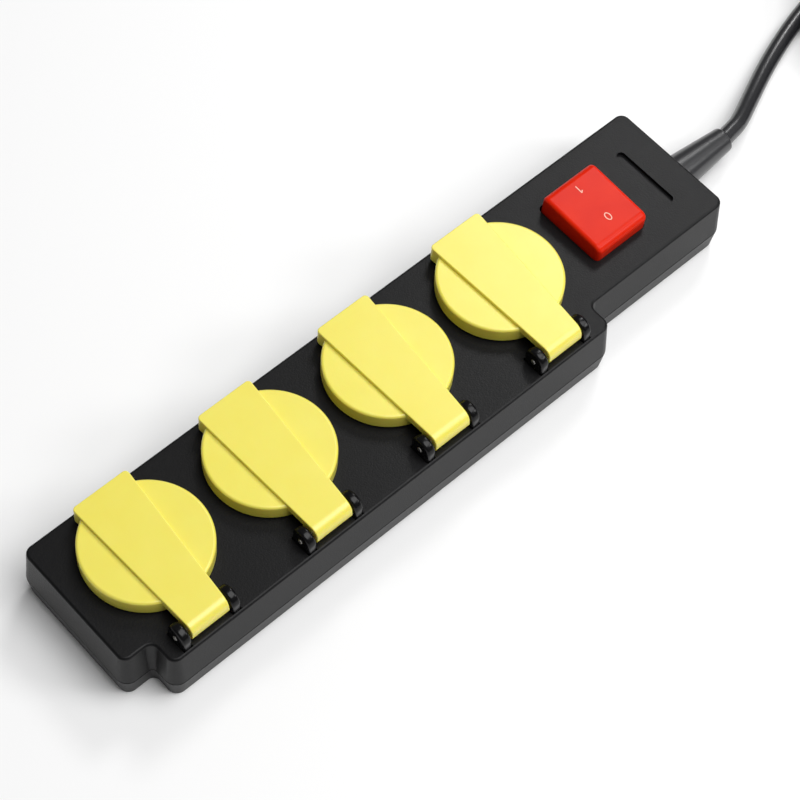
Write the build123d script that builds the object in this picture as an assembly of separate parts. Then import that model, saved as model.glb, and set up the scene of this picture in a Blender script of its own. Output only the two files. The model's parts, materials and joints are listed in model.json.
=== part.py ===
from build123d import *
import math
import os

# A four-way socket strip for outdoor use, in millimetres. +X runs along the strip to the cord,
# +Z is up and -Y is the hinge side. The origin is under the middle of the housing, on the floor.

# Housing
strip_length = 363.5          # along the top edge
strip_width = 69.0            # of the straight strip, without the ledge
ledge_depth = 14.2            # how far the hinge ledge stands out of the strip
ledge_overhang = 25.3         # of the ledge past the first and the last socket's middle
housing_height = 34.0
seam_height = 12.6            # where the two shells meet
wall = 2.5
lean_out = 1.8                # the walls lean out by this much from the top to the seam
lean_in = 1.5                 # and back in by this much from the seam to the bottom
strip_corner = 4.4            # plan radius at the strip's corners
ledge_corner = 4.5            # plan radius at the ledge's outer corners
ledge_root = 4.0              # plan radius where the ledge leaves the strip
top_round = 1.3
bottom_round = 0.9
seam_bevel = 0.35

# Sockets
socket_count = 4
socket_pitch = 69.4
socket_row_shift = -37.0      # of the row's middle from the housing's
recess_radius = 19.6
recess_depth = 17.5
recess_floor = 2.4
collar_wall = 3.4
collar_rise = 6.4             # of the collar over the housing's top
flange_width = 4.0
flange_thick = 2.0
insert_gap = 0.1              # between the collar and the hole in the top
pin_spacing = 19.0
pin_hole_radius = 2.75
guide_width = 5.4
guide_rise = 1.5
collar_round = 0.7

# Earth prongs
prong_width = 5.0
prong_thick = 1.0
prong_inset = 0.6             # of the prong's inner face from the recess wall
prong_below_rim = 2.5
prong_slot_gap = 0.5

# Conductors
sleeve_radius = 3.5
sleeve_bore = 2.45
bar_width = 8.0
bar_thick = 1.0
bar_height = 10.0
bar_past_socket = 28.0
earth_bar_width = 5.0
earth_bar_height = 18.0
sleeve_post_height = 6.0
sleeve_post_radius = 4.6
sleeve_post_bore = 3.0

# Lids and hinges
disc_radius = 30.0
disc_above_top = 9.5
lid_skin = 2.2
skirt_above_top = 1.3
disc_round = 1.3
band_rise = 1.9
band_half_free = 15.1
band_half_hinge = 10.0
band_overhang = 1.8           # of the grip lip past the disc's edge
lip_above_top = 2.4
lip_wall = 2.0
band_round = 0.5
hinge_out = 7.1               # of the hinge axis from the strip's near edge
hinge_above_top = 5.0
hinge_shift = -2.5            # of the hinge along the strip from the socket's middle
knuckle_radius = 4.7
knuckle_lip_round = 4.5
spring_room_radius = 3.3
spring_room_half = 4.5
seal_thick = 0.8
seal_gap = 0.1
seal_width = 5.0
ear_radius = 5.8
ear_thick = 4.8
ear_gap = 1.0                 # between the knuckle and an ear
ear_round = 1.5
ear_slot_gap = 0.1
bracket_plate = 2.0
pin_radius = 1.25
pin_play = 0.05
pin_proud = 0.5
spring_wire = 0.8
spring_radius = 2.2
spring_turns = 6

# Switch
rocker_x = 127.4
rocker_length = 39.0          # across the strip
rocker_width = 32.0
rocker_rise = 10.1
rocker_tilt = 3.0             # each way from level
rocker_gap = 0.5
rocker_wall = 2.2
rocker_corner = 2.6
rocker_side_round = 1.8
rocker_end_round = 4.0
rocker_skirt = 6.0            # below the housing's top
pivot_below_top = 7.0
pivot_radius = 2.0
pivot_play = 0.05
pivot_lug = 9.0
cup_wall = 1.6
cup_floor_height = 8.0
pole_offset = 7.0
plunger_radius = 2.0
plunger_play = 0.05
plunger_tube_wall = 1.0
plunger_tube_end = 22.0       # height of the tubes' lower ends
plunger_tip_height = 15.3
bridge_height = 14.0
bridge_length = 26.0
bridge_width = 5.0
bridge_thick = 1.0
bridge_tilt = 5.0             # each way from level
bridge_gap = 0.3              # between a bridge and the fulcrum it rocks on
terminal_width = 4.0
terminal_thick = 1.2
terminal_low = 3.6
contact_back = 11.0           # of the fixed contact from the pivot
mark_depth = 0.25
mark_height = 4.6             # of the digits, across the strip
mark_stroke = 0.5
one_from_pivot = 11.4         # towards the far side
nought_from_pivot = 7.8       # towards the hinge side

# Groove in the top, between the switch and the cord
groove_x = 162.7
groove_length = 36.5
groove_width = 4.6
groove_depth = 1.9

# Screws
screw_radius = 1.5
screw_head_radius = 2.8
screw_head_height = 2.2
screw_recess_radius = 3.1
screw_recess_depth = 2.6
screw_length = 19.0
screw_clearance = 0.2
screw_play = 0.02
boss_radius = 3.6
boss_far_y = 34.4
boss_strip_near_y = -20.2
boss_ledge_near_y = -34.4
boss_end_inset = 8.3          # of the end screws from the ends of the housing

# Cord and what holds it
cord_radius = 4.55
boot_length = 38.0
boot_root_radius = 10.3
boot_tip_radius = 6.3
boot_neck_radius = 8.5
boot_inner_radius = 10.2
boot_inner_length = 2.4
boot_bore_gap = 0.05
clamp_x = 170.0
clamp_length = 8.0
clamp_width = 27.0
clamp_thick = 4.0
clamp_screw_offset = 9.5
clamp_screw_length = 11.0
core_radius = 1.5
sheath_end_x = 161.0
cord_route = [
    (221.6, 7.1, 12.6),
    (236.0, 9.6, 11.3),
    (254.0, 18.0, 7.6),
    (282.0, 30.2, 4.9),
    (315.0, 40.3, 4.6),
    (348.5, 45.7, 4.6),
]
cord_end_route = [
    (364.0, 46.4, 22.8),
    (384.0, 46.8, 22.5),
    (402.0, 47.0, 20.8),
    (420.0, 47.2, 19.2),
]
coil_middle = (358.0, -8.0)
coil_outer_turn = 54.5
coil_turn_height = 9.1

# Plug
plug_body_radius = 18.8
plug_body_length = 36.0
plug_neck_radius = 9.0
plug_boot_length = 24.0
plug_boot_tip = 6.0
plug_pin_radius = 2.4
plug_pin_length = 19.0
plug_head_length = 19.0
plug_strip_width = 4.4
plug_strip_thick = 0.8
plug_strip_depth = 2.0        # of the strips' seats below the head's round

# Places worked out from the sizes above
far_edge = (strip_width + ledge_depth) / 2
strip_near_edge = far_edge - strip_width
ledge_edge = -far_edge
socket_y = far_edge - strip_width / 2
half_length = strip_length / 2
socket_xs = [socket_row_shift + (n - (socket_count - 1) / 2) * socket_pitch for n in range(socket_count)]
ledge_start = socket_xs[0] - ledge_overhang
ledge_end = socket_xs[-1] + ledge_overhang
inner_top = housing_height - wall
rim_height = housing_height + collar_rise
recess_bottom = rim_height - recess_depth
hinge_xs = [x + hinge_shift for x in socket_xs]
collar_radius = recess_radius + collar_wall
disc_top = housing_height + disc_above_top
disc_under = disc_top - lid_skin
band_top = disc_top + band_rise
hinge_y = strip_near_edge - hinge_out
hinge_z = housing_height + hinge_above_top
band_free_y = socket_y + disc_radius + band_overhang
band_front_y = hinge_y - knuckle_radius
ear_inner = band_half_hinge + ear_gap
ear_outer = ear_inner + ear_thick
pivot_z = housing_height - pivot_below_top
rocker_top = housing_height + rocker_rise
cord_z = seam_height


def outline(offset):
    """The housing's plan, moved outwards by offset, as a face at z = 0."""
    left = -half_length - offset
    right = half_length + offset
    far = far_edge + offset
    near = strip_near_edge - offset
    ledge = ledge_edge - offset
    start = ledge_start - offset
    end = ledge_end + offset
    points = [
        (left, far), (left, near), (start, near), (start, ledge),
        (end, ledge), (end, near), (right, near), (right, far),
    ]
    strip_r = strip_corner + offset
    ledge_r = ledge_corner + offset
    root_r = ledge_root - offset
    radii = [strip_r, strip_r, root_r, ledge_r, ledge_r, root_r, strip_r, strip_r]
    path = FilletPolyline(*points, radius=radii, close=True)
    return make_face(path.edges())


def leaning(*levels):
    """A solid with flat sides through several levels, each a height and the plan's offset there."""
    return loft([Pos(0, 0, height) * outline(offset) for height, offset in levels], ruled=True)


def upper_lean(height):
    return lean_out * (housing_height - height) / (housing_height - seam_height)


def lower_lean(height):
    return lean_out - lean_in * (seam_height - height) / seam_height


def block(x0, x1, y0, y1, z0, z1):
    return Pos((x0 + x1) / 2, (y0 + y1) / 2, (z0 + z1) / 2) * Box(x1 - x0, y1 - y0, z1 - z0)


def post(x, y, z0, z1, radius):
    return Pos(x, y, (z0 + z1) / 2) * Cylinder(radius, z1 - z0)


def rod_x(x0, x1, y, z, radius):
    return Pos((x0 + x1) / 2, y, z) * Rot(0, 90, 0) * Cylinder(radius, x1 - x0)


def prism(points, z0, z1):
    """An upright prism over a plan of straight sides."""
    return Pos(0, 0, z0) * extrude(Polygon(*points, align=None), z1 - z0)


def tube(points, radius, bends):
    """A round tube along straight runs joined by tangent arcs."""
    path = FilletPolyline(*points, radius=bends)
    start = Plane(origin=path @ 0, z_dir=path % 0)
    return sweep(start * Circle(radius), path=path)


def edges_at(part, height):
    return part.edges().filter_by_position(Axis.Z, height - 0.01, height + 0.01)


def screw_places():
    """Two rows of screws, between the sockets and at the ends."""
    end = half_length - boss_end_inset
    between = [x + socket_pitch / 2 for x in socket_xs]
    far = [(x, boss_far_y) for x in [-end, *between, end]]
    near_ledge = [(x, boss_ledge_near_y) for x in between[:-1]]
    near_strip = [(x, boss_strip_near_y) for x in (-end, between[-1], end)]
    return far + near_ledge + near_strip


def clamp_screw_places():
    return [(clamp_x, socket_y + side * clamp_screw_offset) for side in (-1, 1)]


def top_housing():
    bevel_top = seam_height + seam_bevel
    shell = leaning((seam_height, lean_out - seam_bevel), (bevel_top, upper_lean(bevel_top)), (housing_height, 0))
    shell = fillet(edges_at(shell, housing_height), top_round)
    shell -= leaning((seam_height, lean_out - wall), (inner_top, upper_lean(inner_top) - wall))
    for x, y in screw_places():
        shell += post(x, y, seam_height, inner_top + 0.5, boss_radius)
    for x, y in screw_places():
        shell -= post(x, y, seam_height, seam_height + screw_length, screw_radius + screw_play)
    for x in socket_xs:
        shell -= post(x, socket_y, inner_top - 1, housing_height + 1, collar_radius + insert_gap)
    for x in hinge_xs:
        for side in (-1, 1):
            inner = x + side * (ear_inner - ear_slot_gap)
            outer = x + side * (ear_outer + ear_slot_gap)
            reach = ear_radius + ear_slot_gap
            shell -= block(min(inner, outer), max(inner, outer), hinge_y - reach, hinge_y + reach,
                           inner_top - 1, housing_height + 1)
    opening = RectangleRounded(rocker_width + 2 * rocker_gap, rocker_length + 2 * rocker_gap, rocker_corner)
    shell -= Pos(rocker_x, socket_y, inner_top - 1) * extrude(opening, wall + 2)
    groove = Rot(0, 0, 90) * SlotOverall(groove_length, groove_width)
    shell -= Pos(groove_x, socket_y, housing_height - groove_depth) * extrude(groove, groove_depth + 1)
    shell -= rod_x(half_length - 20, half_length + 20, socket_y, cord_z, boot_neck_radius)
    return shell


def base_housing():
    bevel_low = seam_height - seam_bevel
    shell = leaning((0, lean_out - lean_in), (bevel_low, lower_lean(bevel_low)), (seam_height, lean_out - seam_bevel))
    shell = fillet(edges_at(shell, 0), bottom_round)
    shell -= leaning((wall, lower_lean(wall) - wall), (seam_height, lean_out - wall))
    for x, y in screw_places():
        shell += post(x, y, wall - 0.5, seam_height, boss_radius)
    for x, y in screw_places():
        shell -= post(x, y, -1, seam_height + 1, screw_radius + screw_clearance)
        shell -= post(x, y, -1, screw_recess_depth, screw_recess_radius)
    for x in socket_xs:
        for side in (-1, 1):
            y = socket_y + side * pin_spacing / 2
            shell += post(x, y, wall - 0.5, sleeve_post_height, sleeve_post_radius)
            shell -= post(x, y, wall, sleeve_post_height + 1, sleeve_post_bore)
    saddle = block(clamp_x - clamp_length / 2, clamp_x + clamp_length / 2,
                   socket_y - clamp_width / 2, socket_y + clamp_width / 2, wall - 0.5, cord_z - 0.6)
    shell += saddle
    for x, y in clamp_screw_places():
        shell -= post(x, y, wall, cord_z, screw_radius + screw_play)
    shell -= rod_x(clamp_x - 20, half_length - wall - 1, socket_y, cord_z, cord_radius)
    shell -= rod_x(half_length - 8, half_length + 20, socket_y, cord_z, boot_neck_radius)
    shell -= rod_x(half_length - 8, half_length - wall, socket_y, cord_z, boot_inner_radius + 0.1)
    return shell


def socket_insert(x):
    """A round cup with a collar, a flange under the housing's top, and a floor with two pin holes."""
    bottom = recess_bottom - recess_floor
    cup = post(x, socket_y, bottom, rim_height, collar_radius)
    cup = fillet(edges_at(cup, rim_height), collar_round)
    cup += post(x, socket_y, inner_top - flange_thick, inner_top, collar_radius + flange_width)
    cup -= post(x, socket_y, recess_bottom, rim_height + 1, recess_radius)
    for side in (-1, 1):
        y = socket_y + side * recess_radius
        ridge = block(x - guide_width / 2, x + guide_width / 2, y - guide_rise, y + guide_rise,
                      recess_bottom, rim_height - 2)
        cup += ridge & post(x, socket_y, recess_bottom, rim_height, collar_radius - 1)
        cup -= post(x, socket_y + side * pin_spacing / 2, bottom - 1, recess_bottom + 1, pin_hole_radius)
        middle = x + side * (recess_radius - prong_inset + prong_thick / 2)
        half_x = prong_thick / 2 + prong_slot_gap
        half_y = prong_width / 2 + prong_slot_gap
        cup -= block(middle - half_x, middle + half_x, socket_y - half_y, socket_y + half_y,
                     bottom - 1, rim_height - prong_below_rim + 1)
    return cup


def earth_bar():
    """One strip under the sockets, with two upright prongs for each of them."""
    low = earth_bar_height
    high = low + bar_thick
    bar = block(socket_xs[0] - recess_radius - 1, socket_xs[-1] + bar_past_socket,
                socket_y - earth_bar_width / 2, socket_y + earth_bar_width / 2, low, high)
    for x in socket_xs:
        for side in (-1, 1):
            middle = x + side * (recess_radius - prong_inset + prong_thick / 2)
            bar += block(middle - prong_thick / 2, middle + prong_thick / 2,
                         socket_y - prong_width / 2, socket_y + prong_width / 2,
                         low, rim_height - prong_below_rim)
    return bar


def busbar(side):
    """A strip along one row of pin holes, with a contact sleeve under each hole."""
    y = socket_y + side * pin_spacing / 2
    bar = block(socket_xs[0] - bar_width / 2, socket_xs[-1] + bar_past_socket,
                y - bar_width / 2, y + bar_width / 2, bar_height, bar_height + bar_thick)
    top = recess_bottom - recess_floor
    for x in socket_xs:
        bar += post(x, y, sleeve_post_height, top, sleeve_radius)
    for x in socket_xs:
        bar -= post(x, y, sleeve_post_height - 1, top + 1, sleeve_bore)
    return bar


def hinge_bracket(x):
    """Two round ears that stand out of the top through slots, joined by a plate under it."""
    bracket = block(x - ear_outer - 2, x + ear_outer + 2, hinge_y - ear_radius + 1.4, hinge_y + ear_radius,
                    inner_top - bracket_plate, inner_top)
    for side in (-1, 1):
        inner = x + side * ear_inner
        outer = x + side * ear_outer
        low = min(inner, outer)
        high = max(inner, outer)
        head = rod_x(low, high, hinge_y, hinge_z, ear_radius)
        ear = head + block(low, high, hinge_y - ear_radius, hinge_y + ear_radius, inner_top, hinge_z)
        bracket += fillet(ear.edges().filter_by(GeomType.CIRCLE), ear_round)
    return bracket - rod_x(x - ear_outer - 1, x + ear_outer + 1, hinge_y, hinge_z, pin_radius)


def band_plan(x, inset):
    """The tapering band seen from above, drawn in by inset, from the hinge to the grip lip."""
    slope = (band_half_free - band_half_hinge) / (band_free_y - band_front_y)
    hinge_half = band_half_hinge - inset
    free_half = band_half_free - inset - slope * inset
    knuckle_x = x + hinge_shift
    return [
        (knuckle_x - hinge_half, band_front_y), (knuckle_x + hinge_half, band_front_y),
        (x + free_half, band_free_y - inset), (x - free_half, band_free_y - inset),
    ]


def band_profile(x):
    """The band seen from the side: grip lip, flat top and the round over the knuckle, as a wide solid."""
    lip_low = housing_height + lip_above_top
    points = [
        (band_front_y, hinge_z), (band_front_y, band_top), (band_free_y + 1, band_top),
        (band_free_y + 1, lip_low), (socket_y, lip_low), (socket_y, disc_under),
        (hinge_y + knuckle_radius, disc_under), (hinge_y + knuckle_radius, hinge_z),
    ]
    side = FilletPolyline(*[(0, y, z) for y, z in points], radius=[0, knuckle_lip_round, 0, 0, 0, 0, 0, 0],
                          close=True)
    return Pos(x - disc_radius, 0, 0) * extrude(make_face(side.edges()), 2 * disc_radius, dir=(1, 0, 0))


def lid(x):
    """A disc with a skirt, a raised band across it with a grip lip, and the hinge knuckle, in one piece."""
    disc = post(x, socket_y, housing_height + skirt_above_top, disc_top, disc_radius)
    disc = fillet(edges_at(disc, disc_top), disc_round)
    plan = FilletPolyline(*band_plan(x, 0), radius=[0, 0, lip_wall, lip_wall], close=True)
    band = extrude(make_face(plan.edges()), band_top) & band_profile(x)
    band = fillet(edges_at(band, band_top).sort_by(Axis.X)[0], band_round)
    pivot_x = x + hinge_shift
    left = pivot_x - band_half_hinge
    right = pivot_x + band_half_hinge
    whole = disc + band + rod_x(left, right, hinge_y, hinge_z, knuckle_radius)
    whole -= post(x, socket_y, 0, disc_under, disc_radius - lid_skin)
    lip_room = prism(band_plan(x, lip_wall), 0, disc_under)
    whole -= lip_room & block(x - 40, x + 40, socket_y + disc_radius / 2, band_free_y, 0, 80)
    whole -= rod_x(left - 1, right + 1, hinge_y, hinge_z, pin_radius + pin_play)
    room = spring_room_half
    whole -= rod_x(pivot_x - room, pivot_x + room, hinge_y, hinge_z, spring_room_radius)
    return whole


def lid_seal(x):
    low = rim_height + seal_gap
    ring = post(x, socket_y, low, disc_under, collar_radius + 1)
    return ring - post(x, socket_y, low - 1, disc_under + 1, collar_radius + 1 - seal_width)


def hinge_pin(x):
    reach = ear_outer + pin_proud
    pin = rod_x(x - reach, x + reach, hinge_y, hinge_z, pin_radius)
    return fillet(pin.edges().filter_by(GeomType.CIRCLE), pin_proud * 0.9)


def lid_spring(x):
    """A close-wound torsion spring round the pin."""
    half = spring_room_half - spring_wire
    path = Helix(pitch=2 * half / spring_turns, height=2 * half, radius=spring_radius,
                 center=(x - half, hinge_y, hinge_z), direction=(1, 0, 0))
    start = Plane(origin=path @ 0, z_dir=path % 0)
    return sweep(start * Circle(spring_wire / 2), path=path, is_frenet=True)


def rocker_frame(shape):
    """Turns a shape drawn level about the rocker's pivot to where the switch is off."""
    return Pos(0, socket_y, pivot_z) * Rot(rocker_tilt, 0, 0) * Pos(0, -socket_y, -pivot_z) * shape


def plunger_axes():
    return [rocker_x - pole_offset, rocker_x + pole_offset]


def rocker():
    """A hollow cap with rounded ends, two tubes for the plungers and two pivot stubs."""
    low = housing_height - rocker_skirt
    plan = RectangleRounded(rocker_width, rocker_length, rocker_corner)
    half = rocker_length / 2
    corners = [(0, socket_y - half, low), (0, socket_y - half, rocker_top),
               (0, socket_y + half, rocker_top), (0, socket_y + half, low)]
    side = FilletPolyline(*corners, radius=[0, rocker_end_round, rocker_end_round, 0], close=True)
    cap = Pos(rocker_x - rocker_width, 0, 0) * extrude(make_face(side.edges()), 2 * rocker_width, dir=(1, 0, 0))
    cap = cap & Pos(rocker_x, socket_y, low) * extrude(plan, rocker_top - low)
    cap = fillet(edges_at(cap, rocker_top).filter_by(Axis.Y), rocker_side_round)
    inside = RectangleRounded(rocker_width - 2 * rocker_wall, rocker_length - 2 * rocker_wall, 1.0)
    cap -= Pos(rocker_x, socket_y, low) * extrude(inside, rocker_top - low - 1.6 * rocker_wall)
    under = rocker_top - 1.6 * rocker_wall
    for x in plunger_axes():
        cap += post(x, socket_y, plunger_tube_end, under + 0.5, plunger_radius + plunger_tube_wall)
    for x in plunger_axes():
        cap -= post(x, socket_y, plunger_tube_end - 1, under, plunger_radius + plunger_play)
    for side in (-1, 1):
        face = rocker_x + side * rocker_width / 2
        inner = face - side * rocker_wall
        lug = block(min(face, inner), max(face, inner), socket_y - pivot_lug / 2, socket_y + pivot_lug / 2,
                    pivot_z - pivot_lug / 2, low + 1)
        end = face + side * (rocker_gap + cup_wall - 0.2)
        cap += lug + rod_x(min(inner, end), max(inner, end), socket_y, pivot_z, pivot_radius)
    return rocker_frame(cap)


def rocker_marks():
    """The digits 1 (far side) and 0 (hinge side), laid in the cap's top, their tops towards the hinges."""
    height = rocker_top - mark_depth
    half = mark_height / 2
    one_y = socket_y + one_from_pivot
    one = block(rocker_x - mark_stroke / 2, rocker_x + mark_stroke / 2, one_y - half, one_y + half,
                height, rocker_top)
    flag = Box(1.6, mark_stroke, mark_depth)
    one += Pos(rocker_x + 0.55, one_y - half + 0.65, height + mark_depth / 2) * Rot(0, 0, 40) * flag
    ring = Ellipse(mark_height / 3, half) - Ellipse(mark_height / 3 - mark_stroke, half - mark_stroke)
    nought = Pos(rocker_x + 0.6, socket_y - nought_from_pivot, height) * extrude(ring, mark_depth)
    return [rocker_frame(one), rocker_frame(nought)]


def plungers():
    tips = []
    for x in plunger_axes():
        body = post(x, socket_y, plunger_tip_height, plunger_tube_end + 6, plunger_radius)
        tips.append(rocker_frame(fillet(edges_at(body, plunger_tip_height), plunger_radius * 0.9)))
    return tips


def plunger_springs():
    """One coil spring above each plunger, inside its tube."""
    springs = []
    low = plunger_tube_end + 6
    high = rocker_top - 1.6 * rocker_wall
    wire = 0.5
    for x in plunger_axes():
        path = Helix(pitch=(high - low - wire) / 5, height=high - low - wire,
                     radius=plunger_radius - wire, center=(x, socket_y, low + wire / 2))
        start = Plane(origin=path @ 0, z_dir=path % 0)
        springs.append(rocker_frame(sweep(start * Circle(wire / 2), path=path, is_frenet=True)))
    return springs


def switch_body():
    """A cup under the rocker that clips to the underside of the housing's top."""
    inner_x = rocker_width + 2 * rocker_gap
    inner_y = rocker_length + 2 * rocker_gap
    outer = RectangleRounded(inner_x + 2 * cup_wall, inner_y + 2 * cup_wall, rocker_corner)
    inner = RectangleRounded(inner_x, inner_y, rocker_corner - 0.8)
    cup = Pos(rocker_x, socket_y, cup_floor_height) * extrude(outer, inner_top - cup_floor_height)
    floor = cup_floor_height + cup_wall
    cup -= Pos(rocker_x, socket_y, floor) * extrude(inner, inner_top - floor + 1)
    cup -= rod_x(rocker_x - rocker_width, rocker_x + rocker_width, socket_y, pivot_z,
                 pivot_radius + pivot_play)
    for x in plunger_axes():
        for y in (socket_y, socket_y - contact_back):
            cup -= block(x - terminal_width / 2, x + terminal_width / 2, y - terminal_thick / 2,
                         y + terminal_thick / 2, 0, floor + 1)
    return cup


def contact_bridge(x):
    """A brass see-saw that the plunger tips over its fulcrum, drawn where the switch is off."""
    half = bridge_length / 2
    bar = block(x - bridge_width / 2, x + bridge_width / 2, socket_y - half, socket_y + half,
                bridge_height - bridge_thick / 2, bridge_height + bridge_thick / 2)
    return Pos(0, socket_y, bridge_height) * Rot(-bridge_tilt, 0, 0) * Pos(0, -socket_y, -bridge_height) * bar


def switch_terminals():
    """Upright blades through the cup's floor: a fulcrum and a fixed contact for each pole."""
    blades = []
    reach = math.sin(math.radians(bridge_tilt)) * contact_back
    for x in plunger_axes():
        for y, high in (
            (socket_y, bridge_height - bridge_thick / 2 - bridge_gap),
            (socket_y - contact_back, bridge_height - bridge_thick / 2 - reach - bridge_gap),
        ):
            blades.append(block(x - terminal_width / 2, x + terminal_width / 2, y - terminal_thick / 2,
                                y + terminal_thick / 2, terminal_low, high))
    return blades


def housing_screws():
    screws = []
    head_low = screw_recess_depth - screw_head_height
    for x, y in screw_places():
        screw = post(x, y, head_low, screw_recess_depth, screw_head_radius)
        screw = fillet(edges_at(screw, head_low), 0.8)
        screw += post(x, y, screw_recess_depth, screw_recess_depth + screw_length, screw_radius)
        for turn in (0, 90):
            slot = Pos(x, y, head_low) * Rot(0, 0, turn) * Box(3.4, 0.8, 1.8)
            screw -= slot
        screws.append(screw)
    return screws


def cable_clamp():
    low = cord_z + 1.6
    bar = block(clamp_x - clamp_length / 2, clamp_x + clamp_length / 2,
                socket_y - clamp_width / 2, socket_y + clamp_width / 2, low, low + clamp_thick)
    bar -= rod_x(clamp_x - clamp_length, clamp_x + clamp_length, socket_y, cord_z, cord_radius)
    for x, y in clamp_screw_places():
        bar -= post(x, y, low - 1, low + clamp_thick + 1, screw_radius + screw_play)
    return bar


def clamp_screws():
    top = cord_z + 1.6 + clamp_thick
    screws = []
    for x, y in clamp_screw_places():
        head = fillet(edges_at(post(x, y, top, top + 2, screw_head_radius), top + 2), 0.8)
        screws.append(head + post(x, y, top - clamp_screw_length, top, screw_radius))
    return screws


def cable_boot():
    """A tapered rubber boot, its neck in the end wall and a flange behind the wall."""
    start = half_length - 1
    cone = Plane(origin=(start, socket_y, cord_z), z_dir=(1, 0, 0)) * Circle(boot_root_radius)
    tip_x = cord_route[0][0]
    tip = Plane(origin=(tip_x, socket_y, cord_z), z_dir=(1, 0, 0)) * Circle(boot_tip_radius)
    boot = loft([cone, tip], ruled=True)
    boot = fillet(boot.edges().filter_by(GeomType.CIRCLE).sort_by(Axis.X)[-1], 0.8)
    boot -= leaning((0, lean_out - lean_in), (seam_height, lean_out), (housing_height, 0))
    inner = half_length - wall
    boot += rod_x(inner, half_length + lean_out + 1, socket_y, cord_z, boot_neck_radius)
    boot += rod_x(inner - boot_inner_length, inner, socket_y, cord_z, boot_inner_radius)
    return boot - rod_x(inner - 10, tip_x + 1, socket_y, cord_z, cord_radius + boot_bore_gap)


def inner_cord():
    return rod_x(sheath_end_x, cord_route[0][0], socket_y, cord_z, cord_radius)


def wires():
    """The five insulated conductors, each a tube with rounded bends."""
    live_x = rocker_x + pole_offset
    neutral_x = rocker_x - pole_offset
    low = 5.4
    contact_y = socket_y - contact_back
    beside = terminal_width / 2
    bar_z = bar_height + bar_thick + core_radius
    bar_end = socket_xs[-1] + bar_past_socket
    live_y = socket_y + pin_spacing / 2
    neutral_y = socket_y - pin_spacing / 2
    earth_z = earth_bar_height + bar_thick + core_radius
    start = sheath_end_x + 1
    routes = {
        "wire_live_in": [(start, socket_y + 2.4, cord_z - 1), (152, socket_y + 2.4, low),
                         (142, contact_y, low), (live_x + beside, contact_y, low)],
        "wire_neutral_in": [(start, socket_y - 2.4, cord_z - 1), (154, socket_y - 7, low),
                            (144, contact_y - 7, low), (neutral_x, contact_y - 7, low),
                            (neutral_x, contact_y - terminal_thick / 2, low)],
        "wire_earth": [(start, socket_y, cord_z + 2.4), (152, socket_y + 14, cord_z + 2),
                       (148, socket_y + 24.4, 15), (107, socket_y + 25.5, 16), (103, socket_y + 10, earth_z),
                       (bar_end - 4, socket_y, earth_z)],
        "wire_live_out": [(live_x, socket_y + terminal_thick / 2, low), (live_x, live_y, low),
                          (110, live_y, low), (102, live_y, bar_z), (bar_end - 4, live_y, bar_z)],
        "wire_neutral_out": [(neutral_x - beside, socket_y, low), (110, socket_y, low),
                             (102, neutral_y, bar_z), (bar_end - 4, neutral_y, bar_z)],
    }
    sheath = inner_cord()
    return {name: tube(points, core_radius, 3.0) - sheath for name, points in routes.items()}


def bend_radii(points):
    """For each corner, 0.45 of the shorter run over the tangent of half the turn."""
    radii = []
    for before, here, after in zip(points, points[1:], points[2:]):
        run_in = Vector(here) - Vector(before)
        run_out = Vector(after) - Vector(here)
        turn = math.radians(run_in.get_angle(run_out))
        radii.append(0.45 * min(run_in.length, run_out.length) / math.tan(turn / 2))
    return radii


def extended(first, second, length):
    """The point that lies length before first, on the line from second through first."""
    back = (Vector(first) - Vector(second)).normalized() * length
    return tuple(Vector(first) + back)


def cord_tube(name, points):
    radii = bend_radii(points)
    path = FilletPolyline(*points, radius=radii)
    solid = tube(points, cord_radius, radii)
    share = solid.volume / (math.pi * cord_radius ** 2 * path.length)
    print(name, "bend radii", [round(r) for r in radii], "length", round(path.length, 1),
          "volume over section times length", round(share, 4))
    return solid


def cord_run():
    """From the boot's tip, down to the floor and into the coil's ring, which it runs on inside."""
    start = extended(cord_route[0], cord_route[1], 1)
    run = cord_tube("cord_run", [start, *cord_route[1:]])
    return run - rod_x(start[0] - 10, cord_route[0][0], socket_y, cord_z, 2 * cord_radius)


def cord_end():
    """From inside the top of the coil's ring up to the plug."""
    last = cord_end_route[-1]
    finish = extended(last, cord_end_route[-2], 1)
    run = cord_tube("cord_end", [*cord_end_route[:-1], finish])
    return run - rod_x(last[0], last[0] + 10, last[1], last[2], 2 * cord_radius)


def coil():
    """The put-away length: two turns side by side, two high, and one more on top of the outer ones."""
    outer = coil_outer_turn + cord_radius
    between = coil_outer_turn - cord_radius
    inner = between - 2 * cord_radius
    low = cord_route[-1][2] - cord_radius
    middle = low + 2 * coil_turn_height
    high = middle + coil_turn_height
    soft = cord_radius * 0.8
    ring = post(*coil_middle, low, middle, outer) - post(*coil_middle, low - 1, middle + 1, inner)
    ring = fillet(ring.edges().filter_by(GeomType.CIRCLE), soft)
    top = post(*coil_middle, middle - cord_radius, high, outer)
    top -= post(*coil_middle, middle - cord_radius - 1, high + 1, between)
    return ring + fillet(edges_at(top, high), soft)


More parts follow.
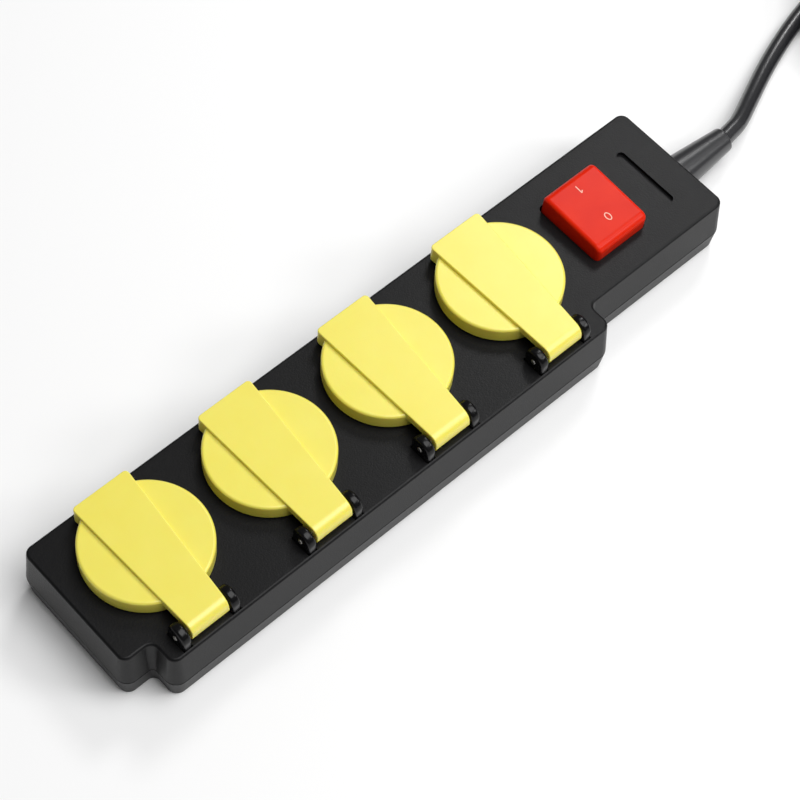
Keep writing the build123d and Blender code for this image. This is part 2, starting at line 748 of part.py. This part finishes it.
def plug():
    """The plug lying on its side, its pins towards +X: body, pins and earth strips."""
    x, y, z = cord_end_route[-1]
    shoulder = x + plug_boot_length
    face = shoulder + plug_body_length
    head_start = face - plug_head_length

    def disc(at, radius):
        return Plane(origin=(at, y, z), z_dir=(1, 0, 0)) * Circle(radius)

    boot = loft([disc(x, plug_boot_tip), disc(shoulder, plug_neck_radius)], ruled=True)
    grip_radius = plug_body_radius - 4
    shell = boot + loft([disc(shoulder, plug_neck_radius), disc(shoulder + 6, grip_radius)], ruled=True)
    shell += loft([disc(shoulder + 6, grip_radius), disc(head_start, plug_body_radius)], ruled=True)
    head = rod_x(head_start, face, y, z, plug_body_radius)
    shell += fillet(head.edges().filter_by(GeomType.CIRCLE).sort_by(Axis.X)[-1], 1.0)
    pins = []
    strips = []
    for side in (-1, 1):
        pin = rod_x(face, face + plug_pin_length, y + side * pin_spacing / 2, z, plug_pin_radius)
        pins.append(fillet(pin.edges().filter_by(GeomType.CIRCLE).sort_by(Axis.X)[-1], plug_pin_radius * 0.8))
        surface = z + side * (plug_body_radius + 1)
        seat = z + side * (plug_body_radius - plug_strip_depth)
        half = plug_strip_width / 2
        shell -= block(head_start + 3, face + 1, y - half, y + half, min(seat, surface), max(seat, surface))
        strip_top = seat + side * plug_strip_thick
        strips.append(block(head_start + 3, face - 0.3, y - half, y + half, min(seat, strip_top), max(seat, strip_top)))
    return shell, pins, strips


def main():
    os.makedirs("parts", exist_ok=True)
    nodes = {"top_housing": top_housing(), "base_housing": base_housing()}
    for number, x in enumerate(socket_xs, start=1):
        nodes[f"socket_insert_{number}"] = socket_insert(x)
        nodes[f"hinge_bracket_{number}"] = hinge_bracket(x + hinge_shift)
        nodes[f"hinge_pin_{number}"] = hinge_pin(x + hinge_shift)
        nodes[f"lid_{number}"] = lid(x)
        nodes[f"lid_seal_{number}"] = lid_seal(x)
        nodes[f"lid_spring_{number}"] = lid_spring(x + hinge_shift)
    nodes["live_busbar"] = busbar(1)
    nodes["neutral_busbar"] = busbar(-1)
    nodes["earth_bar"] = earth_bar()
    nodes["switch_body"] = switch_body()
    marks = rocker_marks()
    nodes["rocker"] = rocker() - marks
    nodes["rocker_marks"] = Compound(children=marks)
    nodes["plungers"] = Compound(children=plungers())
    nodes["plunger_springs"] = Compound(children=plunger_springs())
    nodes["contact_bridge_neutral"] = contact_bridge(plunger_axes()[0])
    nodes["contact_bridge_live"] = contact_bridge(plunger_axes()[1])
    nodes["switch_terminals"] = Compound(children=switch_terminals())
    nodes["housing_screws"] = Compound(children=housing_screws())
    nodes["cable_clamp"] = cable_clamp()
    nodes["clamp_screws"] = Compound(children=clamp_screws())
    nodes["cable_boot"] = cable_boot()
    nodes["inner_cord"] = inner_cord()
    nodes.update(wires())
    nodes["cord_coil"] = coil()
    nodes["cord_run"] = cord_run()
    nodes["cord_end"] = cord_end()
    shell, pins, strips = plug()
    nodes["plug_body"] = shell
    nodes["plug_pins"] = Compound(children=pins)
    nodes["plug_earth_strips"] = Compound(children=strips)
    for name, shape in nodes.items():
        export_step(shape, f"parts/{name}.step")
    print(len(nodes), "nodes")


main()
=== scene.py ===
import json
import math

import bpy
import numpy as np
from mathutils import Matrix, Vector


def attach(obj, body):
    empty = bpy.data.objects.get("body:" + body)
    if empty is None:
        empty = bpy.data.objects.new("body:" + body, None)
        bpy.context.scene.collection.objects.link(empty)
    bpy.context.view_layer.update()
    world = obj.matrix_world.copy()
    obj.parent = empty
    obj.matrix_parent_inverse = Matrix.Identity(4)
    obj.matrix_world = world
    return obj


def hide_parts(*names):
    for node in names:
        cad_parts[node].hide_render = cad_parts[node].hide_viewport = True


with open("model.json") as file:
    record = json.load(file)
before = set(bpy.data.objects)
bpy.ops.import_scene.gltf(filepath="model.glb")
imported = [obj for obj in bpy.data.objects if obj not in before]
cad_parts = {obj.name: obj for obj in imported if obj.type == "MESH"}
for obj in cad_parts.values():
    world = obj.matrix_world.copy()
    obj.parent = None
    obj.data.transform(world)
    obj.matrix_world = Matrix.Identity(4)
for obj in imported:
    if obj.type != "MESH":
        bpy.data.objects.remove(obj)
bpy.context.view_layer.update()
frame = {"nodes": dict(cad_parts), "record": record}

mm = 0.001

# ---- camera, from above the free end of the strip ----

cameraSettings = {
    "place": (-0.4059, -0.3817, 0.9697),
    "heading": 43.20,        # degrees from +X
    "dip": 59.75,            # degrees below level
    "roll": 5.44,
    "lens": 108.9,
    "sensor": 36.0,
}


def makeCamera(settings):
    heading, dip, roll = (math.radians(settings[k]) for k in ("heading", "dip", "roll"))
    look = Vector((math.cos(dip) * math.cos(heading), math.cos(dip) * math.sin(heading), -math.sin(dip)))
    level = look.cross(Vector((0, 0, 1))).normalized()
    up = level.cross(look)
    right = level * math.cos(roll) + up * math.sin(roll)
    top = up * math.cos(roll) - level * math.sin(roll)
    data = bpy.data.cameras.new("viewCamera")
    data.lens = settings["lens"]
    data.sensor_width = settings["sensor"]
    data.clip_start = 0.01
    camera = bpy.data.objects.new("viewCamera", data)
    turn = Matrix((right, top, -look)).transposed().to_4x4()
    camera.matrix_world = Matrix.Translation(settings["place"]) @ turn
    bpy.context.scene.collection.objects.link(camera)
    bpy.context.scene.camera = camera
    return camera


makeCamera(cameraSettings)
print("camera ready")

# ---- materials ----


def toLinear(hexColour):
    # each sRGB channel c becomes c/12.92 below 0.04045, else ((c+0.055)/1.055)^2.4
    channels = np.array([int(hexColour[i:i + 2], 16) for i in (1, 3, 5)]) / 255
    linear = np.where(channels <= 0.04045, channels / 12.92, ((channels + 0.055) / 1.055) ** 2.4)
    return (*linear.tolist(), 1.0)


def addNode(tree, kind, settings=None, links=None):
    # one node: settings are its own values and its input sockets' values, links its inputs' sources
    node = tree.nodes.new(kind)
    for key, value in (settings or {}).items():
        if isinstance(key, str) and hasattr(node, key):
            setattr(node, key, value)
        else:
            node.inputs[key].default_value = value
    for key, source in (links or {}).items():
        tree.links.new(source, node.inputs[key])
    return node


def newMaterial(name):
    material = bpy.data.materials.new(name)
    material.use_nodes = True
    material.node_tree.nodes.clear()
    return material, material.node_tree


def finishSurface(tree, settings, links=None):
    shader = addNode(tree, "ShaderNodeBsdfPrincipled", settings, links)
    addNode(tree, "ShaderNodeOutputMaterial", links={"Surface": shader.outputs["BSDF"]})
    return shader


def mixedTone(tree, first, second, noise):
    return addNode(tree, "ShaderNodeMix", {"data_type": "RGBA", 6: toLinear(first), 7: toLinear(second)},
                   {0: noise.outputs["Fac"]})


def noiseBump(tree, strength, depth, noise):
    return addNode(tree, "ShaderNodeBump", {"Strength": strength, "Distance": depth},
                   {"Height": noise.outputs["Fac"]})


# grain sizes are in millimetres; the finest are drawn coarser than the real ones so that they show
mouldedSkin = {"cloud": 22, "depth": 0.0003, "sheen": 0.22}
plastics = {
    "grainedPolyamide": {"colour": "#0e0e0f", "light": "#131314", "rough": 0.38, "roughSpan": 0.05,
                         "grain": 0.7, "bump": 0.3, "ior": 1.42},
    "smoothBlackAbs": {"colour": "#1a1a1c", "light": "#1f1f21", "rough": 0.36, "roughSpan": 0.04,
                       "grain": 0.8, "bump": 0.02, "ior": 1.50},
    "glossBlackAcetal": {"colour": "#0a0a0b", "light": "#0f0f10", "rough": 0.22, "roughSpan": 0.04,
                         "grain": 1.0, "bump": 0.02, "ior": 1.48},
    "whiteAcetal": {"colour": "#e2dfd6", "light": "#e8e5dc", "rough": 0.35, "roughSpan": 0.03,
                    "grain": 0.8, "bump": 0.02, "ior": 1.48},
    "printedFill": {"colour": "#f0b8a4", "light": "#f2c0ae", "rough": 0.45, "roughSpan": 0.02,
                    "grain": 0.6, "bump": 0.01, "ior": 1.50},
    "brownPvc": {"colour": "#6b4127", "light": "#74482c", "rough": 0.38, "roughSpan": 0.03,
                 "grain": 0.8, "bump": 0.02, "ior": 1.53},
    "bluePvc": {"colour": "#2c63a8", "light": "#316bb2", "rough": 0.38, "roughSpan": 0.03,
                "grain": 0.8, "bump": 0.02, "ior": 1.53},
}


def mouldedPlastic(name, s):
    # colour = mix(colour, light, slow noise); fine noise at the grain's size sets both the height
    # and a roughness of rough - roughSpan to rough + roughSpan, as an etched mould leaves it
    material, tree = newMaterial(name)
    place = addNode(tree, "ShaderNodeTexCoord").outputs["Object"]
    cloud = addNode(tree, "ShaderNodeTexNoise", {"Scale": 1 / (mouldedSkin["cloud"] * mm), "Detail": 3.0},
                    {"Vector": place})
    grain = addNode(tree, "ShaderNodeTexNoise", {"Scale": 1 / (s["grain"] * mm), "Detail": 2.0},
                    {"Vector": place})
    tone = mixedTone(tree, s["colour"], s["light"], cloud)
    rough = addNode(tree, "ShaderNodeMapRange", {"To Min": s["rough"] - s["roughSpan"],
                                                 "To Max": s["rough"] + s["roughSpan"]},
                    {"Value": grain.outputs["Fac"]})
    bump = noiseBump(tree, s["bump"], mouldedSkin["depth"], grain)
    finishSurface(tree, {"IOR": s["ior"], "Specular IOR Level": mouldedSkin["sheen"]},
                  {"Base Color": tone.outputs[2], "Roughness": rough.outputs["Result"],
                   "Normal": bump.outputs["Normal"]})
    return material


waxySkin = {"cloud": 14, "depth": 0.0004, "ior": 1.50}
# satin moulded lid plastic: light enters a little way, so thin edges glow warmer than the flat top
lidPlastic = {"colour": "#ebe063", "deep": "#e8da52", "rough": 0.34, "grain": 1.1, "bump": 0.035,
              "glow": 0.25, "glowReach": 3.0, "shine": 0.75}
# satin red polycarbonate: slightly clear, so its shaded side stays a strong red
rockerPlastic = {"colour": "#de2b0a", "deep": "#cc1a06", "rough": 0.30, "grain": 2.4, "bump": 0.05,
                 "glow": 0.25, "glowReach": 3.5, "shine": 0.12}


def waxyPlastic(name, s):
    # colour = mix(deep, colour, slow noise), with light let in to glowReach millimetres; red goes
    # in furthest, green 0.6 of that and blue hardly at all
    material, tree = newMaterial(name)
    place = addNode(tree, "ShaderNodeTexCoord").outputs["Object"]
    cloud = addNode(tree, "ShaderNodeTexNoise", {"Scale": 1 / (waxySkin["cloud"] * mm), "Detail": 2.0},
                    {"Vector": place})
    grain = addNode(tree, "ShaderNodeTexNoise", {"Scale": 1 / (s["grain"] * mm), "Detail": 2.0},
                    {"Vector": place})
    tone = mixedTone(tree, s["deep"], s["colour"], cloud)
    bump = noiseBump(tree, s["bump"], waxySkin["depth"], grain)
    finishSurface(tree, {"Roughness": s["rough"], "IOR": waxySkin["ior"], "Specular IOR Level": s["shine"],
                         "Subsurface Weight": s["glow"],
                         "Subsurface Radius": (s["glowReach"] * mm, s["glowReach"] * 0.6 * mm, 0.15 * mm),
                         "Subsurface Scale": 1.0},
                  {"Base Color": tone.outputs[2], "Normal": bump.outputs["Normal"]})
    return material


# bare metals: turned and drawn steel, stamped brass and plated parts, told apart by their marks
metals = {
    "turnedSteel": {"colour": "#a9a7a3", "rough": 0.32, "drawn": 0.25, "grain": 0.3},
    "springSteel": {"colour": "#8f8d8a", "rough": 0.30, "drawn": 0.2, "grain": 0.4},
    "stampedBrass": {"colour": "#c9a24e", "rough": 0.34, "drawn": 0.3, "grain": 0.4},
    "nickelPlate": {"colour": "#cfccc6", "rough": 0.20, "drawn": 0.1, "grain": 0.5},
    "zincPlate": {"colour": "#b3b2ad", "rough": 0.36, "drawn": 0.2, "grain": 0.5},
}


def workedMetal(name, s):
    # roughness = base + noise * drawn, with the noise at the working marks' width
    material, tree = newMaterial(name)
    place = addNode(tree, "ShaderNodeTexCoord").outputs["Object"]
    marks = addNode(tree, "ShaderNodeTexNoise", {"Scale": 1 / (s["grain"] * mm), "Detail": 3.0},
                    {"Vector": place})
    rough = addNode(tree, "ShaderNodeMapRange", {"To Min": s["rough"], "To Max": s["rough"] + s["drawn"]},
                    {"Value": marks.outputs["Fac"]})
    finishSurface(tree, {"Base Color": toLinear(s["colour"]), "Metallic": 1.0},
                  {"Roughness": rough.outputs["Result"]})
    return material


# satin black rubbers: the skin of the cord and boot takes a soft highlight, the lid seals take none
rubberSkin = {"depth": 0.0003, "ior": 1.52, "sheen": 1.0}
rubbers = {
    "extrudedRubber": {"colour": "#1c1c1e", "light": "#242427", "rough": 0.27, "grain": 1.2, "bump": 0.05},
    "mouldedRubber": {"colour": "#1c1c1e", "light": "#242427", "rough": 0.29, "grain": 0.9, "bump": 0.05},
    "foamRubber": {"colour": "#202022", "light": "#2a2a2c", "rough": 0.85, "grain": 0.5, "bump": 0.3},
}


def satinRubber(name, s):
    # colour = mix(colour, light, noise); the same noise lifts the skin a little
    material, tree = newMaterial(name)
    place = addNode(tree, "ShaderNodeTexCoord").outputs["Object"]
    skin = addNode(tree, "ShaderNodeTexNoise", {"Scale": 1 / (s["grain"] * mm), "Detail": 3.0},
                   {"Vector": place})
    tone = mixedTone(tree, s["colour"], s["light"], skin)
    bump = noiseBump(tree, s["bump"], rubberSkin["depth"], skin)
    finishSurface(tree, {"Roughness": s["rough"], "IOR": rubberSkin["ior"],
                         "Specular IOR Level": rubberSkin["sheen"]},
                  {"Base Color": tone.outputs[2], "Normal": bump.outputs["Normal"]})
    return material


# green and yellow insulation, the earth wire's colours
stripes = {"green": "#2f7d36", "yellow": "#e4d02e", "pair": 8, "waveScale": 6.3, "share": 0.55,
           "rough": 0.38, "ior": 1.53}


def stripedPvc(name, s):
    # colour = green where a slanting wave is below the share, yellow above it; the wave's scale is
    # one over the width of a stripe pair, over waveScale
    material, tree = newMaterial(name)
    place = addNode(tree, "ShaderNodeTexCoord").outputs["Object"]
    scale = 1 / (s["pair"] * mm) / s["waveScale"]
    wave = addNode(tree, "ShaderNodeTexWave", {"Scale": scale, "bands_direction": "DIAGONAL"},
                   {"Vector": place})
    ramp = addNode(tree, "ShaderNodeValToRGB", links={"Fac": wave.outputs["Fac"]})
    ramp.color_ramp.interpolation = "CONSTANT"
    ramp.color_ramp.elements[0].color = toLinear(s["green"])
    ramp.color_ramp.elements[1].position = s["share"]
    ramp.color_ramp.elements[1].color = toLinear(s["yellow"])
    finishSurface(tree, {"Roughness": s["rough"], "IOR": s["ior"]}, {"Base Color": ramp.outputs["Color"]})
    return material


surfaces = {name: mouldedPlastic(name, s) for name, s in plastics.items()}
surfaces.update({name: workedMetal(name, s) for name, s in metals.items()})
surfaces.update({name: satinRubber(name, s) for name, s in rubbers.items()})
surfaces["yellowPolypropylene"] = waxyPlastic("yellowPolypropylene", lidPlastic)
surfaces["redPolycarbonate"] = waxyPlastic("redPolycarbonate", rockerPlastic)
surfaces["stripedPvc"] = stripedPvc("stripedPvc", stripes)

finishes = {
    "housing_plastic": "grainedPolyamide", "insert_plastic": "smoothBlackAbs",
    "hinge_plastic": "glossBlackAcetal", "pin_steel": "turnedSteel",
    "lid_plastic": "yellowPolypropylene", "seal_rubber": "foamRubber",
    "spring_steel": "springSteel", "contact_brass": "stampedBrass", "earth_nickel": "nickelPlate",
    "rocker_plastic": "redPolycarbonate", "mark_paint": "printedFill", "plunger_plastic": "whiteAcetal",
    "zinc_steel": "zincPlate", "boot_rubber": "mouldedRubber", "cord_rubber": "extrudedRubber",
    "plug_rubber": "mouldedRubber", "brown_insulation": "brownPvc", "blue_insulation": "bluePvc",
    "green_insulation": "stripedPvc",
}
slotOf = {entry["node"]: entry["material_slot"] for entry in frame["record"]["subparts"]}
for nodeName, nodeObject in frame["nodes"].items():
    nodeObject.data.materials.clear()
    nodeObject.data.materials.append(surfaces[finishes[slotOf[nodeName]]])
print("materials ready")

# ---- cord ----

cordSettings = {
    "radius": 4.55,
    "exit": (221.6, 7.1, 12.6),
    "run": [(228.8, 8.35, 11.95), (236.0, 9.6, 11.3), (254.0, 18.0, 7.6), (282.0, 30.2, 4.9),
            (315.0, 40.3, 4.6)],
    "middle": (358.0, -8.0),
    "outerTurn": 54.45,
    "innerTurn": 45.35,
    "floorHeight": 4.6,
    "turnHeight": 9.1,
    "pointsPerTurn": 24,
    "startAngle": 100,
    "turned": 1450.1,        # degrees, four turns and a little
    "inward": (270, 350),
    "outward": (830, 910),
    "lifts": ((550, 630), (1110, 1190)),
    "end": [(384.0, 46.8, 22.5), (402.0, 47.0, 20.8), (411.0, 47.1, 20.0), (420.0, 47.2, 19.2)],
}


def coilPoints(s):
    # angle = start - turned; radius and height are fixed values joined by smooth steps t*t*(3 - 2t)
    # of the angle turned
    turned = np.arange(0, s["turned"], 360 / s["pointsPerTurn"])

    def smooth(a, b):
        t = np.clip((turned - a) / (b - a), 0, 1)
        return t * t * (3 - 2 * t)

    inward = smooth(*s["inward"]) - smooth(*s["outward"])
    radius = s["outerTurn"] + (s["innerTurn"] - s["outerTurn"]) * inward
    height = s["floorHeight"] + s["turnHeight"] * (smooth(*s["lifts"][0]) + smooth(*s["lifts"][1]))
    angle = np.radians(s["startAngle"] - turned)
    x = s["middle"][0] + radius * np.cos(angle)
    y = s["middle"][1] + radius * np.sin(angle)
    return np.stack([x, y, height], axis=1)


def makeCord(s):
    route = np.vstack([[s["exit"]], s["run"], coilPoints(s), s["end"]]) * mm
    curve = bpy.data.curves.new("rubberCord", "CURVE")
    curve.dimensions = "3D"
    curve.bevel_depth = s["radius"] * mm
    curve.bevel_resolution = 6
    curve.resolution_u = 6
    curve.use_fill_caps = True
    spline = curve.splines.new("NURBS")
    spline.points.add(len(route) - 1)
    spline.points.foreach_set("co", np.hstack([route, np.ones((len(route), 1))]).ravel())
    spline.order_u = 3
    spline.use_endpoint_u = True
    cord = bpy.data.objects.new("rubberCord", curve)
    bpy.context.scene.collection.objects.link(cord)
    curve.materials.append(surfaces["extrudedRubber"])
    return cord


cord = makeCord(cordSettings)
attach(cord, "strip")
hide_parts("cord_run", "cord_coil", "cord_end")
print("cord ready")

# ---- hinge ears, two to a lid ----

earSettings = {
    "hinges": [-143.6, -74.2, -4.8, 64.6],
    "y": -34.5,
    "axisHeight": 39.0,
    "foot": 31.5,
    "radius": 5.8,
    "inner": 11.0,
    "outer": 15.8,
    "round": 1.5,
    "arcPoints": 57,
    "legPoints": 5,
    "roundPoints": 9,
    "plate": (17.8, -38.9, -28.7, 29.5),     # half length, near y, far y, underside
}


def earGrid(s, side):
    # outline: (R cos a, H + R sin a) over the top, then straight legs to the foot and across it
    # rim: each ring is pulled towards the spine by the round's inset while x follows the round
    arc = np.linspace(0, math.pi, s["arcPoints"])
    radius, foot, top = s["radius"], s["foot"], s["axisHeight"]
    count = s["legPoints"]
    legs = np.linspace(foot, top, count + 1)[:-1]
    bottom = np.linspace(-radius, radius, count + 2)[1:-1]
    y = np.concatenate([np.full(count, radius), radius * np.cos(arc), np.full(count, -radius), bottom])
    z = np.concatenate([legs, top + radius * np.sin(arc), legs[::-1], np.full(count, foot)])
    spine = np.clip(z, foot, top)
    turn = np.linspace(0, math.pi / 2, s["roundPoints"])
    inset = s["round"] * (1 - np.sin(turn))
    inset = np.concatenate([[radius], inset, inset[::-1], [radius]])
    rise = s["round"] * (1 - np.cos(turn))
    x = np.concatenate([[s["inner"]], s["inner"] + rise, (s["outer"] - rise)[::-1], [s["outer"]]])
    scale = (1 - inset / radius)[:, None]
    across = np.broadcast_to(side * x[:, None], (len(x), len(y)))
    grid = np.stack([across, scale * y[None], spine + scale * (z - spine)[None]], axis=2)
    return grid if side > 0 else grid[:, ::-1]


def gridFaces(rings, around, start):
    # quad (i, j) joins ring i to ring i + 1 and point j to point j + 1, round and round
    i, j = np.meshgrid(np.arange(rings - 1), np.arange(around), indexing="ij")
    k = (j + 1) % around
    near, far = i * around, (i + 1) * around
    return (start + np.stack([near + j, near + k, far + k, far + j], axis=2)).reshape(-1, 4)


boxFaces = [(0, 3, 2, 1), (4, 5, 6, 7), (0, 1, 5, 4), (1, 2, 6, 5), (2, 3, 7, 6), (3, 0, 4, 7)]


def makeEars(s, number, x):
    points, faces = [], []
    for side in (-1, 1):
        grid = earGrid(s, side)
        faces.append(gridFaces(grid.shape[0], grid.shape[1], sum(len(p) for p in points)))
        points.append(grid.reshape(-1, 3) + (x, s["y"], 0))
    half, near, far, low = s["plate"]
    plan = ((-half, near), (half, near), (half, far), (-half, far))
    corners = np.array([(a, b, c) for c in (low, s["foot"]) for a, b in plan])
    first = sum(len(p) for p in points)
    points.append(corners + (x, 0, 0))
    faces.append(first + np.array(boxFaces))
    faces = np.vstack(faces)
    mesh = bpy.data.meshes.new(f"hingeEars{number}")
    mesh.from_pydata((np.vstack(points) * mm).tolist(), [], faces.tolist())
    smooth = np.ones(len(faces), dtype=bool)
    smooth[-len(boxFaces):] = False
    mesh.polygons.foreach_set("use_smooth", smooth)
    mesh.materials.append(surfaces["glossBlackAcetal"])
    mesh.validate()
    ears = bpy.data.objects.new(f"hingeEars{number}", mesh)
    bpy.context.scene.collection.objects.link(ears)
    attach(ears, "strip")
    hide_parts(f"hinge_bracket_{number}")


for number, x in enumerate(earSettings["hinges"], start=1):
    makeEars(earSettings, number, x)
print("ears ready")

# ---- floor, backdrop and lights ----

stageSettings = {
    "floorColour": "#f4f4f4",
    "floorSize": 12.0,
    "world": 0.13,
}
# each light: its place and target in metres, its width and depth, its power in watts
lights = {
    "backSoftbox": ((1.02, 0.55, 1.32), (0.15, 0, 0), (0.4, 0.4), 6.5),
    "sideSoftbox": ((0.85, -1.0, 0.95), (0.1, 0, 0), (0.45, 0.35), 5),
    "wideSoftbox": ((0.45, -0.7, 2.3), (0, 0, 0), (1.9, 1.9), 56),
}


def makeFloor(s):
    half = s["floorSize"] / 2
    mesh = bpy.data.meshes.new("paleFloor")
    corners = [(-half, -half, 0), (half, -half, 0), (half, half, 0), (-half, half, 0)]
    mesh.from_pydata(corners, [], [(0, 1, 2, 3)])
    floor = bpy.data.objects.new("paleFloor", mesh)
    bpy.context.scene.collection.objects.link(floor)
    material, tree = newMaterial("palePaper")
    finishSurface(tree, {"Base Color": toLinear(s["floorColour"]), "Roughness": 0.9,
                         "Specular IOR Level": 0.1})
    mesh.materials.append(material)


def makeLight(name, place, target, size, power):
    data = bpy.data.lights.new(name, "AREA")
    data.shape = "RECTANGLE"
    data.size, data.size_y = size
    data.energy = power
    light = bpy.data.objects.new(name, data)
    light.location = place
    light.rotation_euler = (Vector(target) - Vector(place)).to_track_quat("-Z", "Y").to_euler()
    bpy.context.scene.collection.objects.link(light)


makeFloor(stageSettings)
world = bpy.data.worlds.new("studioAir")
bpy.context.scene.world = world
world.use_nodes = True
world.node_tree.nodes["Background"].inputs["Color"].default_value = (1, 1, 1, 1)
world.node_tree.nodes["Background"].inputs["Strength"].default_value = stageSettings["world"]
for lightName, light in lights.items():
    makeLight(lightName, *light)
bpy.context.scene.view_settings.view_transform = "Standard"
print("stage ready")
